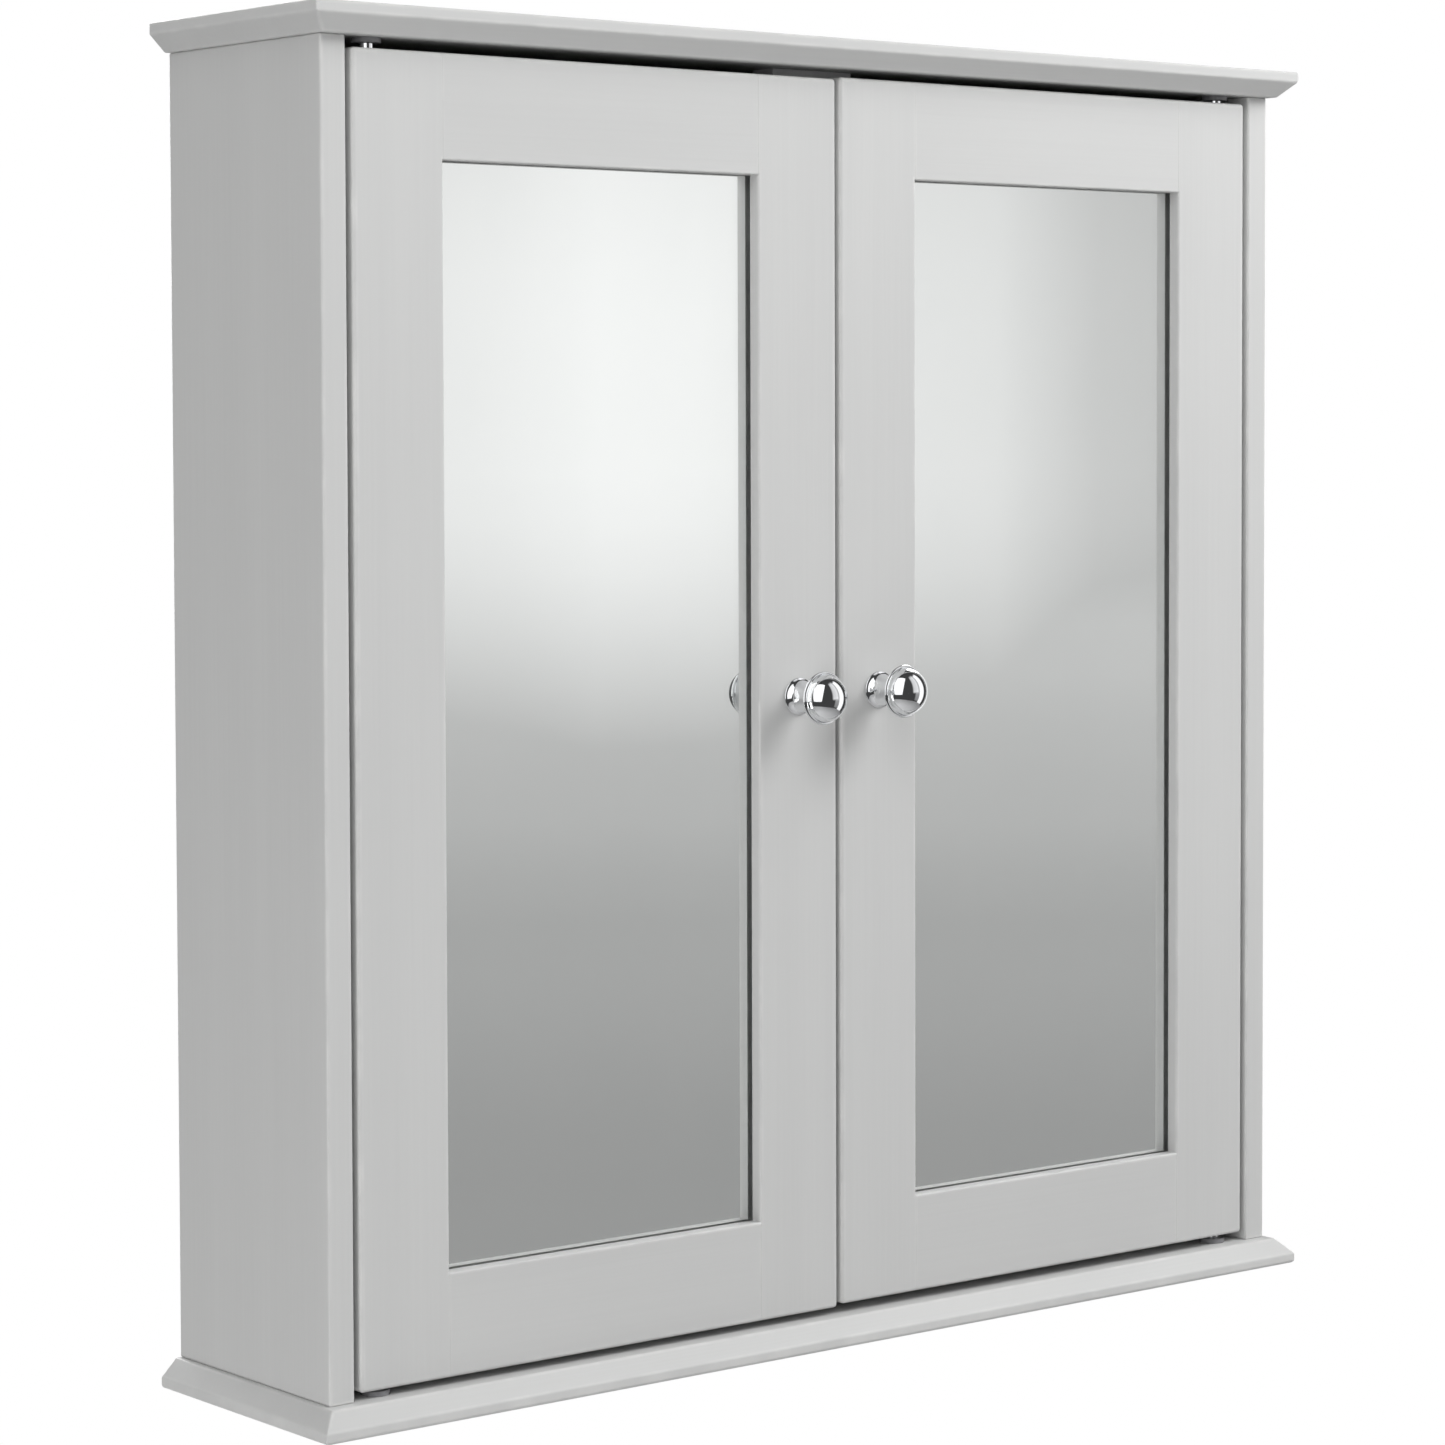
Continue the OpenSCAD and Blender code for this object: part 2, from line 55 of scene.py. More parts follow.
def boxMesh(low, high):
    bm = bmesh.new()
    bmesh.ops.create_cube(bm, size=1)
    bmesh.ops.scale(bm, vec=[b - a for a, b in zip(low, high)], verts=bm.verts)
    bmesh.ops.translate(bm, vec=[(a + b) / 2 for a, b in zip(low, high)], verts=bm.verts)
    return bm


def rodMesh(centre, axis, radius, length, sides=32):
    bm = bmesh.new()
    bmesh.ops.create_cone(bm, cap_ends=True, segments=sides, radius1=radius, radius2=radius, depth=length)
    turn = Vector((0, 0, 1)).rotation_difference(Vector(axis)).to_matrix().to_4x4()
    bmesh.ops.transform(bm, matrix=Matrix.Translation(centre) @ turn, verts=bm.verts)
    return bm


def turnedMesh(profile, centre, axis, steps=64):
    # profile: (radius, height) pairs, spun about the axis through the centre
    bm = bmesh.new()
    verts = [bm.verts.new((radius, 0, height)) for radius, height in profile]
    edges = [bm.edges.new(pair) for pair in zip(verts, verts[1:])]
    bmesh.ops.spin(bm, geom=verts + edges, cent=(0, 0, 0), axis=(0, 0, 1), angle=math.tau,
                   steps=steps, use_merge=True)
    bmesh.ops.remove_doubles(bm, verts=bm.verts, dist=0.002 * mm)
    turn = Vector((0, 0, 1)).rotation_difference(Vector(axis)).to_matrix().to_4x4()
    bmesh.ops.transform(bm, matrix=Matrix.Translation(centre) @ turn, verts=bm.verts)
    bmesh.ops.recalc_face_normals(bm, faces=bm.faces)
    return bm


def addMesh(target, source):
    scratch = bpy.data.meshes.new("scratch")
    source.to_mesh(scratch)
    target.from_mesh(scratch)
    bpy.data.meshes.remove(scratch)
    source.free()


def joined(parts):
    bm = bmesh.new()
    for part in parts:
        addMesh(bm, part)
    return bm


def roundEdges(bm, edges, radius, segments):
    bmesh.ops.bevel(bm, geom=edges, offset=radius, offset_type="OFFSET", segments=segments, profile=0.5,
                    affect="EDGES", material=-1, clamp_overlap=True)


def sharpEdges(bm, degrees):
    limit = math.radians(degrees)
    return [e for e in bm.edges if len(e.link_faces) == 2 and e.calc_face_angle() > limit]


def cutAway(bm, cutter):
    # takes the cutter's solid out of the piece
    pair = []
    for name, source in (("kept", bm), ("cutter", cutter)):
        mesh = bpy.data.meshes.new(name)
        source.to_mesh(mesh)
        source.free()
        pair.append(bpy.data.objects.new(name, mesh))
        bpy.context.scene.collection.objects.link(pair[-1])
    kept, knife = pair
    boolean = kept.modifiers.new("cut", "BOOLEAN")
    boolean.operation = "DIFFERENCE"
    boolean.solver = "EXACT"
    boolean.object = knife
    result = bmesh.new()
    result.from_object(kept, bpy.context.evaluated_depsgraph_get())
    for thing in pair:
        bpy.data.objects.remove(thing)
    return result


def markWear(bm, width):
    # 1 along every rounded arris, falling to 0 inside each flat
    layer = bm.verts.layers.float.new("wear")
    for vert in bm.verts:
        vert[layer] = 1
    flats = [f for f in bm.faces if 2 * f.calc_area() / f.calc_perimeter() > 3 * width]
    bmesh.ops.inset_individual(bm, faces=flats, thickness=width, use_even_offset=True)
    for face in flats:
        for vert in face.verts:
            vert[layer] = 0


def finishPiece(name, bm, material, body, replaced, smoothDegrees=40, weighted=True):
    mesh = bpy.data.meshes.new(name)
    for face in bm.faces:
        face.smooth = True
    limit = math.radians(smoothDegrees)
    for edge in bm.edges:
        edge.smooth = len(edge.link_faces) == 2 and edge.calc_face_angle() < limit
    bm.to_mesh(mesh)
    bm.free()
    piece = bpy.data.objects.new(name, mesh)
    bpy.context.scene.collection.objects.link(piece)
    piece.data.materials.append(material)
    if weighted:
        evenNormals = piece.modifiers.new("even normals", "WEIGHTED_NORMAL")
        evenNormals.keep_sharp = True
        evenNormals.weight = 90
    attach(piece, body)
    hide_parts(*replaced)


def cadCopy(node):
    # the node's own mesh with its seams closed and its flats whole
    bm = bmesh.new()
    bm.from_mesh(frame["nodes"][node].data)
    bmesh.ops.remove_doubles(bm, verts=bm.verts, dist=0.002 * mm)
    bmesh.ops.dissolve_limit(bm, angle_limit=math.radians(0.5), verts=bm.verts, edges=bm.edges,
                             use_dissolve_boundaries=False)
    return bm


def islandsOf(node):
    # lowest and highest corner of each separate solid in a node
    bm = cadCopy(node)
    left = set(bm.verts)
    found = []
    while left:
        stack = [left.pop()]
        group = list(stack)
        while stack:
            for edge in stack.pop().link_edges:
                for vert in edge.verts:
                    if vert in left:
                        left.remove(vert)
                        stack.append(vert)
                        group.append(vert)
        found.append((Vector(min(v.co[i] for v in group) for i in range(3)),
                      Vector(max(v.co[i] for v in group) for i in range(3))))
    bm.free()
    return sorted(found, key=lambda pair: tuple(pair[0]))


# material helpers

def addNode(tree, kind, inputs=None, **settings):
    node = tree.nodes.new(kind)
    for name, value in settings.items():
        setattr(node, name, value)
    for name, value in (inputs or {}).items():
        if isinstance(value, bpy.types.NodeSocket):
            tree.links.new(value, node.inputs[name])
        else:
            node.inputs[name].default_value = value
    return node


def newMaterial(name):
    material = bpy.data.materials.new(name)
    material.use_nodes = True
    tree = material.node_tree
    shader = tree.nodes["Principled BSDF"]
    place = addNode(tree, "ShaderNodeTexCoord").outputs["Object"]
    return material, tree, shader, place


def noiseOn(tree, place, scale, detail=3.0, roughness=0.5, seed=0.0):
    # scale: features per metre along X, Y and Z
    settings = {"Vector": place, "Scale": scale, "Location": (seed, seed, seed)}
    spread = addNode(tree, "ShaderNodeMapping", settings)
    noise = addNode(tree, "ShaderNodeTexNoise", {"Vector": spread.outputs["Vector"], "Scale": 1.0,
                                                 "Detail": detail, "Roughness": roughness})
    return noise.outputs["Fac"]


def remap(tree, value, low, high, outLow, outHigh):
    node = addNode(tree, "ShaderNodeMapRange", {"Value": value, "From Min": low, "From Max": high,
                                                "To Min": outLow, "To Max": outHigh})
    return node.outputs["Result"]


def mathOf(tree, operation, a, b):
    node = tree.nodes.new("ShaderNodeMath")
    node.operation = operation
    for index, value in enumerate((a, b)):
        if isinstance(value, bpy.types.NodeSocket):
            tree.links.new(value, node.inputs[index])
        else:
            node.inputs[index].default_value = value
    return node.outputs["Value"]


def mixColours(tree, factor, first, second):
    node = addNode(tree, "ShaderNodeMix", data_type="RGBA")
    for index, value in ((0, factor), (6, first), (7, second)):
        if isinstance(value, bpy.types.NodeSocket):
            tree.links.new(value, node.inputs[index])
        else:
            node.inputs[index].default_value = value
    return node.outputs[2]


def bumpFrom(tree, height, distance, below=None):
    inputs = {"Height": height, "Distance": distance, "Strength": 1.0}
    if below is not None:
        inputs["Normal"] = below
    return addNode(tree, "ShaderNodeBump", inputs).outputs["Normal"]


def link(tree, source, shader, socket):
    tree.links.new(source, shader.inputs[socket])


# materials

paint = {
    "colour": (0.665, 0.668, 0.662, 1),
    "shade": (0.615, 0.618, 0.614, 1),
    "rubbed": (0.735, 0.735, 0.725, 1),
    "streakWidth": 1.3 * mm,
    "streakLength": 90 * mm,
    "bandWidth": 22 * mm,
    "bandLength": 900 * mm,
    "peelSize": 0.9 * mm,
    "roughness": (0.36, 0.50),
    "worn": 0.08,  # how much glossier a rubbed arris is
}


def brushedPaint(name, along):
    # satin paint laid on with long strokes along one axis
    material, tree, shader, place = newMaterial(name)

    def stroke(width, length):
        return tuple(1 / length if index == along else 1 / width for index in range(3))

    streaks = noiseOn(tree, place, stroke(paint["streakWidth"], paint["streakLength"]), detail=2.0)
    bands = noiseOn(tree, place, stroke(paint["bandWidth"], paint["bandLength"]), detail=1.0, seed=3.7)
    clouds = noiseOn(tree, place, (7, 7, 7), detail=3.0, seed=11.0)
    peel = noiseOn(tree, place, (1 / paint["peelSize"],) * 3, detail=2.0, seed=5.0)
    tone = remap(tree, bands, 0.3, 0.7, 0.0, 0.35)
    tone = mathOf(tree, "ADD", tone, remap(tree, clouds, 0.3, 0.7, 0.0, 0.35))
    tone = mathOf(tree, "ADD", tone, remap(tree, streaks, 0.2, 0.8, 0.0, 0.3))
    body = mixColours(tree, tone, paint["colour"], paint["shade"])
    worn = addNode(tree, "ShaderNodeAttribute", attribute_name="wear").outputs["Fac"]
    patches = remap(tree, noiseOn(tree, place, (55, 55, 55), detail=4.0, seed=2.0), 0.4, 0.7, 0.1, 0.75)
    rub = mathOf(tree, "MULTIPLY", worn, patches)
    link(tree, mixColours(tree, rub, body, paint["rubbed"]), shader, "Base Color")
    gloss = remap(tree, mathOf(tree, "ADD", streaks, clouds), 0.6, 1.4, *paint["roughness"])
    polish = mathOf(tree, "MULTIPLY", rub, paint["worn"])
    link(tree, mathOf(tree, "SUBTRACT", gloss, polish), shader, "Roughness")
    fine = bumpFrom(tree, streaks, 0.030 * mm)
    link(tree, bumpFrom(tree, peel, 0.012 * mm, below=fine), shader, "Normal")
    return material


board = {
    "dark": (0.20, 0.115, 0.060, 1),
    "light": (0.36, 0.225, 0.130, 1),
    "fibres": (900, 900, 380),
    "paintedFrom": -2.4 * mm,  # the back panel's room side lies in front of this depth
}


def hardboard(name, paintedFront):
    # brown pressed fibre; the back panel's room side is painted
    material, tree, shader, place = newMaterial(name)
    fibres = noiseOn(tree, place, board["fibres"], detail=5.0, roughness=0.7)
    mottle = noiseOn(tree, place, (45, 45, 45), detail=4.0, seed=8.0)
    mottled = mathOf(tree, "MULTIPLY", mottle, 0.4)
    mixed = mathOf(tree, "ADD", mathOf(tree, "MULTIPLY", fibres, 0.6), mottled)
    brown = mixColours(tree, remap(tree, mixed, 0.35, 0.65, 0, 1), board["dark"], board["light"])
    if paintedFront:
        depth = addNode(tree, "ShaderNodeSeparateXYZ", {"Vector": place}).outputs["Y"]
        front = remap(tree, depth, board["paintedFrom"] - 0.2 * mm, board["paintedFrom"], 1, 0)
        coat = mixColours(tree, remap(tree, mottle, 0.3, 0.7, 0, 1), paint["colour"], paint["shade"])
        brown = mixColours(tree, front, brown, coat)
    link(tree, brown, shader, "Base Color")
    link(tree, remap(tree, fibres, 0.3, 0.7, 0.55, 0.8), shader, "Roughness")
    link(tree, bumpFrom(tree, fibres, 0.05 * mm), shader, "Normal")
    return material


def beech(name):
    material, tree, shader, place = newMaterial(name)
    grain = noiseOn(tree, place, (1400, 1400, 90), detail=4.0, roughness=0.6)
    flecks = noiseOn(tree, place, (2600, 2600, 500), detail=2.0, seed=4.0)
    rings = remap(tree, grain, 0.35, 0.65, 0, 1)
    tone = mixColours(tree, rings, (0.58, 0.38, 0.21, 1), (0.72, 0.52, 0.32, 1))
    link(tree, tone, shader, "Base Color")
    link(tree, remap(tree, flecks, 0.3, 0.7, 0.5, 0.7), shader, "Roughness")
    link(tree, bumpFrom(tree, grain, 0.06 * mm), shader, "Normal")
    return material


def metal(name, bright, dull, roughness, grains, bumpDepth):
    # plated or cast metal: fine grain, patchy sheen
    material, tree, shader, place = newMaterial(name)
    shader.inputs["Metallic"].default_value = 1.0
    grain = noiseOn(tree, place, (grains,) * 3, detail=3.0)
    patches = noiseOn(tree, place, (160, 160, 160), detail=4.0, seed=6.0)
    link(tree, mixColours(tree, remap(tree, patches, 0.3, 0.7, 0, 1), bright, dull), shader, "Base Color")
    patchy = mathOf(tree, "MULTIPLY", patches, 0.6)
    sheen = mathOf(tree, "ADD", mathOf(tree, "MULTIPLY", grain, 0.4), patchy)
    link(tree, remap(tree, sheen, 0.3, 0.7, *roughness), shader, "Roughness")
    link(tree, bumpFrom(tree, grain, bumpDepth), shader, "Normal")
    return material


def mouldedPlastic(name, dark, light):
    material, tree, shader, place = newMaterial(name)
    spark = noiseOn(tree, place, (2500, 2500, 2500), detail=2.0)
    flow = noiseOn(tree, place, (90, 90, 90), detail=3.0, seed=9.0)
    link(tree, mixColours(tree, remap(tree, flow, 0.3, 0.7, 0, 1), dark, light), shader, "Base Color")
    link(tree, remap(tree, spark, 0.3, 0.7, 0.38, 0.55), shader, "Roughness")
    link(tree, bumpFrom(tree, spark, 0.02 * mm), shader, "Normal")
    return material


def sinteredMagnet(name):
    material, tree, shader, place = newMaterial(name)
    grains = noiseOn(tree, place, (3500, 3500, 3500), detail=4.0, roughness=0.7)
    speckle = remap(tree, grains, 0.35, 0.65, 0, 1)
    tone = mixColours(tree, speckle, (0.030, 0.030, 0.033, 1), (0.085, 0.085, 0.09, 1))
    link(tree, tone, shader, "Base Color")
    link(tree, remap(tree, grains, 0.3, 0.7, 0.5, 0.75), shader, "Roughness")
    link(tree, bumpFrom(tree, grains, 0.05 * mm), shader, "Normal")
    return material


def floatGlass(name):
    # clear sheet, with the faint wipe marks that show only in the gloss
    material, tree, shader, place = newMaterial(name)
    shader.inputs["Transmission Weight"].default_value = 1.0
    shader.inputs["IOR"].default_value = 1.52
    wipes = noiseOn(tree, place, (30, 30, 9), detail=5.0)
    smears = remap(tree, wipes, 0.3, 0.7, 0, 1)
    tint = mixColours(tree, smears, (0.985, 0.99, 0.987, 1), (0.98, 0.986, 0.983, 1))
    link(tree, tint, shader, "Base Color")
    link(tree, remap(tree, wipes, 0.45, 0.75, 0.0, 0.012), shader, "Roughness")
    return material


def silvering(name):
    material, tree, shader, place = newMaterial(name)
    shader.inputs["Metallic"].default_value = 1.0
    haze = noiseOn(tree, place, (14, 14, 14), detail=4.0, seed=1.5)
    mist = remap(tree, haze, 0.3, 0.7, 0, 1)
    tint = mixColours(tree, mist, (0.945, 0.95, 0.945, 1), (0.93, 0.937, 0.932, 1))
    link(tree, tint, shader, "Base Color")
    link(tree, remap(tree, haze, 0.35, 0.75, 0.004, 0.02), shader, "Roughness")
    return material


paintUp = brushedPaint("dove paint upright", 2)
paintAcross = brushedPaint("dove paint across", 0)
backBoard = hardboard("hardboard painted front", True)
plainBoard = hardboard("plain hardboard", False)
beechWood = beech("beech dowel")
# bright and dull colour, roughness range, grains per metre, bump depth
platings = {
    "bright zinc plate": ((0.66, 0.66, 0.68, 1), (0.52, 0.52, 0.55, 1), (0.22, 0.38), 900, 0.010 * mm),
    "die cast zinc": ((0.50, 0.51, 0.53, 1), (0.38, 0.39, 0.41, 1), (0.36, 0.55), 1600, 0.030 * mm),
    "polished chrome": ((0.86, 0.87, 0.88, 1), (0.82, 0.83, 0.85, 1), (0.03, 0.07), 500, 0.0006 * mm),
}
zincPlate, castZinc, chrome = [metal(name, *look) for name, look in platings.items()]
greyPlastic = mouldedPlastic("grey moulded plastic", (0.20, 0.20, 0.21, 1), (0.27, 0.27, 0.28, 1))
palePlastic = mouldedPlastic("pale moulded plastic", (0.58, 0.58, 0.59, 1), (0.66, 0.66, 0.67, 1))
magnetBlack = sinteredMagnet("sintered magnet")
clearGlass = floatGlass("float glass")
silver = silvering("mirror silver")
print("materials ready")


# camera and light

view = {
    "place": (-1.1610, -1.5034, -0.1263),
    "yaw": 39.294,
    "pitch": -2.547,
    "roll": -0.124,
    "lens": 101.33,
    "shift": (-0.0482, -0.0827),
}


def makeCamera():
    data = bpy.data.cameras.new("camera")
    data.sensor_width = 36
    data.lens = view["lens"]
    data.shift_x, data.shift_y = view["shift"]
    data.clip_end = 50
    camera = bpy.data.objects.new("camera", data)
    bpy.context.scene.collection.objects.link(camera)
    turn = (Matrix.Rotation(math.radians(-view["yaw"]), 4, "Z")
            @ Matrix.Rotation(math.radians(90 + view["pitch"]), 4, "X")
            @ Matrix.Rotation(math.radians(view["roll"]), 4, "Z"))
    camera.matrix_world = Matrix.Translation(view["place"]) @ turn
    bpy.context.scene.camera = camera


def areaLight(name, place, size, power, gloss):
    data = bpy.data.lights.new(name, "AREA")
    data.shape = "RECTANGLE"
    data.size, data.size_y = size
    data.energy = power
    lamp = bpy.data.objects.new(name, data)
    bpy.context.scene.collection.objects.link(lamp)
    lamp.location = place
    lamp.rotation_euler = (Vector(studio["middle"]) - Vector(place)).to_track_quat("-Z", "Y").to_euler()
    lamp.visible_camera = False
    lamp.visible_glossy = gloss


studio = {
    "middle": (0, -0.06, -0.25),
    "lamps": {
        "leftBox": {"place": (-1.62, -1.1, 0.75), "size": (2.3, 3.6), "power": 33.2, "gloss": True},
        "nearBox": {"place": (0.95, -0.8, 0.6), "size": (0.7, 0.7), "power": 13.6, "gloss": False},
        "frontBox": {"place": (-0.4, -0.75, 0.55), "size": (0.4, 0.4), "power": 1.1, "gloss": False},
        "lowBox": {"place": (-1.6, -0.5, -1.1), "size": (0.8, 0.8), "power": 8.2, "gloss": False},
        "rearBox": {"place": (0.16, 1.7, 0.5), "size": (0.8, 1.6), "power": 22, "gloss": True},
    },
    # (degrees, brightness) of each soft panel of the room: across from straight out in front, then upwards
    "panels": [
        {"across": ((12, 0), (22, 1), (28, 1.05), (34, 1.1), (36.8, 1.26), (42, 1.04), (44, 0.78), (50, 0.4),
                    (58, 0)),
         "upwards": ((-9, 0), (-0.5, 1), (1.5, 1), (4.5, 0.93), (50, 0.93), (65, 0))},
        {"across": ((46, 0), (50, 1.5), (72, 1.5), (76, 0)),
         "upwards": ((-48, 0), (-42, 1), (48, 1), (55, 0))},
        {"across": ((24, 0), (32, 0.5), (46, 0.5), (50, 0)),
         "upwards": ((-35, 0), (-25, 0.7), (-10.6, 0.86), (-7.2, 1.04), (-5, 1.28), (-3, 1.5), (3, 0))},
    ],
    "flags": 0.07,
    "floorGlow": 0.6,  # keeps the floor pale without lighting the cabinet from below
    "floorLevel": -1.9,
    "floorRadius": 2.6,
}


def rampOf(tree, value, low, high, stops):
    # brightness against an angle, eased between the stops
    spread = remap(tree, value, low, high, 0, 1)
    ramp = addNode(tree, "ShaderNodeValToRGB", {"Fac": spread})
    ramp.color_ramp.interpolation = "EASE"
    elements = ramp.color_ramp.elements
    elements.remove(elements[1])
    for index, (angle, level) in enumerate(stops):
        position = (angle - low) / (high - low)
        element = elements.new(position) if index else elements[0]
        element.position = position
        element.color = (level, level, level, 1)
    return ramp.outputs["Color"]


def makeWorld():
    # white paper for the camera; for light and reflections a dark room with soft panels
    world = bpy.data.worlds.new("studio")
    bpy.context.scene.world = world
    world.use_nodes = True
    tree = world.node_tree
    tree.nodes.clear()
    ray = addNode(tree, "ShaderNodeTexCoord").outputs["Generated"]
    axes = addNode(tree, "ShaderNodeSeparateXYZ", {"Vector": ray}).outputs
    front = mathOf(tree, "MULTIPLY", axes["Y"], -1)
    around = mathOf(tree, "MULTIPLY", mathOf(tree, "ARCTAN2", axes["X"], front), math.degrees(1))
    above = mathOf(tree, "MULTIPLY", mathOf(tree, "ARCSINE", axes["Z"], 0), math.degrees(1))
    level = studio["flags"]
    for panel in studio["panels"]:
        across = rampOf(tree, around, -180, 180, panel["across"])
        upwards = rampOf(tree, above, -90, 90, panel["upwards"])
        level = mathOf(tree, "MAXIMUM", mathOf(tree, "MULTIPLY", across, upwards), level)
    studioLight = addNode(tree, "ShaderNodeBackground", {"Strength": level})
    paper = addNode(tree, "ShaderNodeBackground", {"Color": (1, 1, 1, 1)})
    seen = addNode(tree, "ShaderNodeLightPath").outputs["Is Camera Ray"]
    mix = addNode(tree, "ShaderNodeMixShader", {"Fac": seen})
    tree.links.new(studioLight.outputs[0], mix.inputs[1])
    tree.links.new(paper.outputs[0], mix.inputs[2])
    out = addNode(tree, "ShaderNodeOutputWorld")
    tree.links.new(mix.outputs[0], out.inputs["Surface"])


def makeFloor():
    bm = bmesh.new()
    bmesh.ops.create_circle(bm, cap_ends=True, segments=96, radius=studio["floorRadius"])
    bmesh.ops.translate(bm, vec=(0, 0, studio["floorLevel"]), verts=bm.verts)
    mesh = bpy.data.meshes.new("floor")
    bm.to_mesh(mesh)
    bm.free()
    floor = bpy.data.objects.new("floor", mesh)
    bpy.context.scene.collection.objects.link(floor)
    material, tree, shader, place = newMaterial("pale floor")
    patches = noiseOn(tree, place, (2, 2, 2), detail=2.0)
    link(tree, mixColours(tree, patches, (0.86, 0.86, 0.86, 1), (0.80, 0.80, 0.80, 1)), shader, "Base Color")
    shader.inputs["Roughness"].default_value = 0.7
    shader.inputs["Emission Color"].default_value = (1, 1, 1, 1)
    seen = addNode(tree, "ShaderNodeLightPath").outputs["Is Camera Ray"]
    link(tree, mathOf(tree, "MULTIPLY", seen, studio["floorGlow"]), shader, "Emission Strength")
    floor.data.materials.append(material)


makeCamera()
makeWorld()
makeFloor()
for lampName, lamp in studio["lamps"].items():
    areaLight(lampName, **lamp)
bpy.context.scene.view_settings.view_transform = "Standard"
print("camera, light and floor ready")


# crown and base

moulding = {"bevel": 7.3 * mm, "ease": 0.6 * mm, "lowerArris": 1.6 * mm, "wear": 0.9 * mm,
            "rebateGap": 0.3 * mm}


def panelRebate():
    # room for the back panel, open at the rear
    low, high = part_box("back_panel")
    gap = moulding["rebateGap"]
    return boxMesh(low - Vector((gap, 0, gap)), high + Vector((gap, gap, gap)))


def mouldedBoard(node, bevelledSide):
    # bevelledSide: -1 for a bevel on the lower arrises, 1 for the upper ones
    low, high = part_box(node)
    bm = boxMesh(low, high)
    edgeZ = low.z if bevelledSide < 0 else high.z
    plainZ = high.z if bevelledSide < 0 else low.z

    def onArris(edge, z):
        first, second = (v.co for v in edge.verts)
        level = abs(first.z - z) < 1e-6 and abs(second.z - z) < 1e-6
        return level and (first + second).y / 2 < high.y - 1e-6

    roundEdges(bm, [e for e in bm.edges if onArris(e, edgeZ)], moulding["bevel"], 1)
    if bevelledSide > 0:
        roundEdges(bm, [e for e in bm.edges if onArris(e, plainZ)], moulding["lowerArris"], 4)
    roundEdges(bm, sharpEdges(bm, 32), moulding["ease"], 3)
    markWear(bm, moulding["wear"])
    bm = cutAway(bm, panelRebate())
    finishPiece(f"{node}_board", bm, paintAcross, "carcase", [node])


mouldedBoard("crown", -1)
mouldedBoard("base", 1)
print("crown and base ready")


# sides

sides = {
    "arris": 0.8 * mm,
    "wear": 0.9 * mm,
    "pinHoleDepth": 8 * mm,
    "pinHoleRadius": 2.5 * mm,
    "pinPitch": 32 * mm,
    "pinCollar": 3.6 * mm,
    "camRadius": 7.5 * mm,
    "camGap": 0.15 * mm,
    "camDepth": 10.2 * mm,
}


def sideBoard(node, sign):
    low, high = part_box(node)
    bm = boxMesh(low, high)
    roundEdges(bm, bm.edges[:], sides["arris"], 3)
    markWear(bm, sides["wear"])
    innerX = low.x if sign > 0 else high.x
    cutters = [panelRebate()]

    def bore(y, z, radius, depth, steps):
        cutters.append(rodMesh((innerX, y, z), (1, 0, 0), radius, 2 * depth, steps))

    pinLow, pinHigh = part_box("shelf_pins")
    collar = sides["pinCollar"]
    middles = (pinLow.z + collar, pinHigh.z - collar)
    for z in [middle + row * sides["pinPitch"] for middle in middles for row in (-1, 0, 1)]:
        for y in (pinLow.y + collar, pinHigh.y - collar):
            bore(y, z, sides["pinHoleRadius"], sides["pinHoleDepth"], 24)
    camLow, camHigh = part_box("cams")
    camRadius = sides["camRadius"]
    for z in (camLow.z + camRadius, camHigh.z - camRadius):
        for y in (camLow.y + camRadius, camHigh.y - camRadius):
            bore(y, z, camRadius + sides["camGap"], sides["camDepth"], 48)
    bm = cutAway(bm, joined(cutters))
    finishPiece(f"{node}_board", bm, paintUp, "carcase", [node])


sideBoard("side_left", -1)
sideBoard("side_right", 1)
print("sides ready")


# shelves and hanging rail

inside = {"arris": 1.0 * mm, "wear": 0.8 * mm, "holeRadius": 3 * mm, "drill": 60 * mm}


def shelfBoard(node):
    low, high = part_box(node)
    bm = boxMesh(low, high)
    roundEdges(bm, bm.edges[:], inside["arris"], 3)
    markWear(bm, inside["wear"])
    finishPiece(f"{node}_board", bm, paintAcross, "carcase", [node])


def hangingRail():
    low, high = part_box("hanging_rail")
    bm = boxMesh(low, high)
    roundEdges(bm, bm.edges[:], inside["arris"], 3)
    markWear(bm, inside["wear"])
    mount = next(m for m in frame["record"]["mounts"] if m["name"] == "wall_screws")
    half = mount["dims"]["spacing_x_mm"] * mm / 2
    holes = [rodMesh((x, 0, 0), (0, 1, 0), inside["holeRadius"], inside["drill"], 48) for x in (-half, half)]
    bm = cutAway(bm, joined(holes))
    finishPiece("hanging_rail_board", bm, paintAcross, "carcase", ["hanging_rail"])


shelfBoard("shelf_upper")
shelfBoard("shelf_lower")
hangingRail()
print("shelves and rail ready")


# doors

door = {
    "arris": 1.6 * mm,
    "arrisSteps": 5,
    "easing": 0.9 * mm,
    "easingSteps": 4,
    "lip": 6 * mm,
    "rebate": 6 * mm,
    "rearArris": 1.2 * mm,
    "jointGap": 0.02 * mm,
    "jointArris": 0.22 * mm,
    "wear": 0.9 * mm,
    "bushGap": 0.03 * mm,
    "bushMouth": 1 * mm,
}


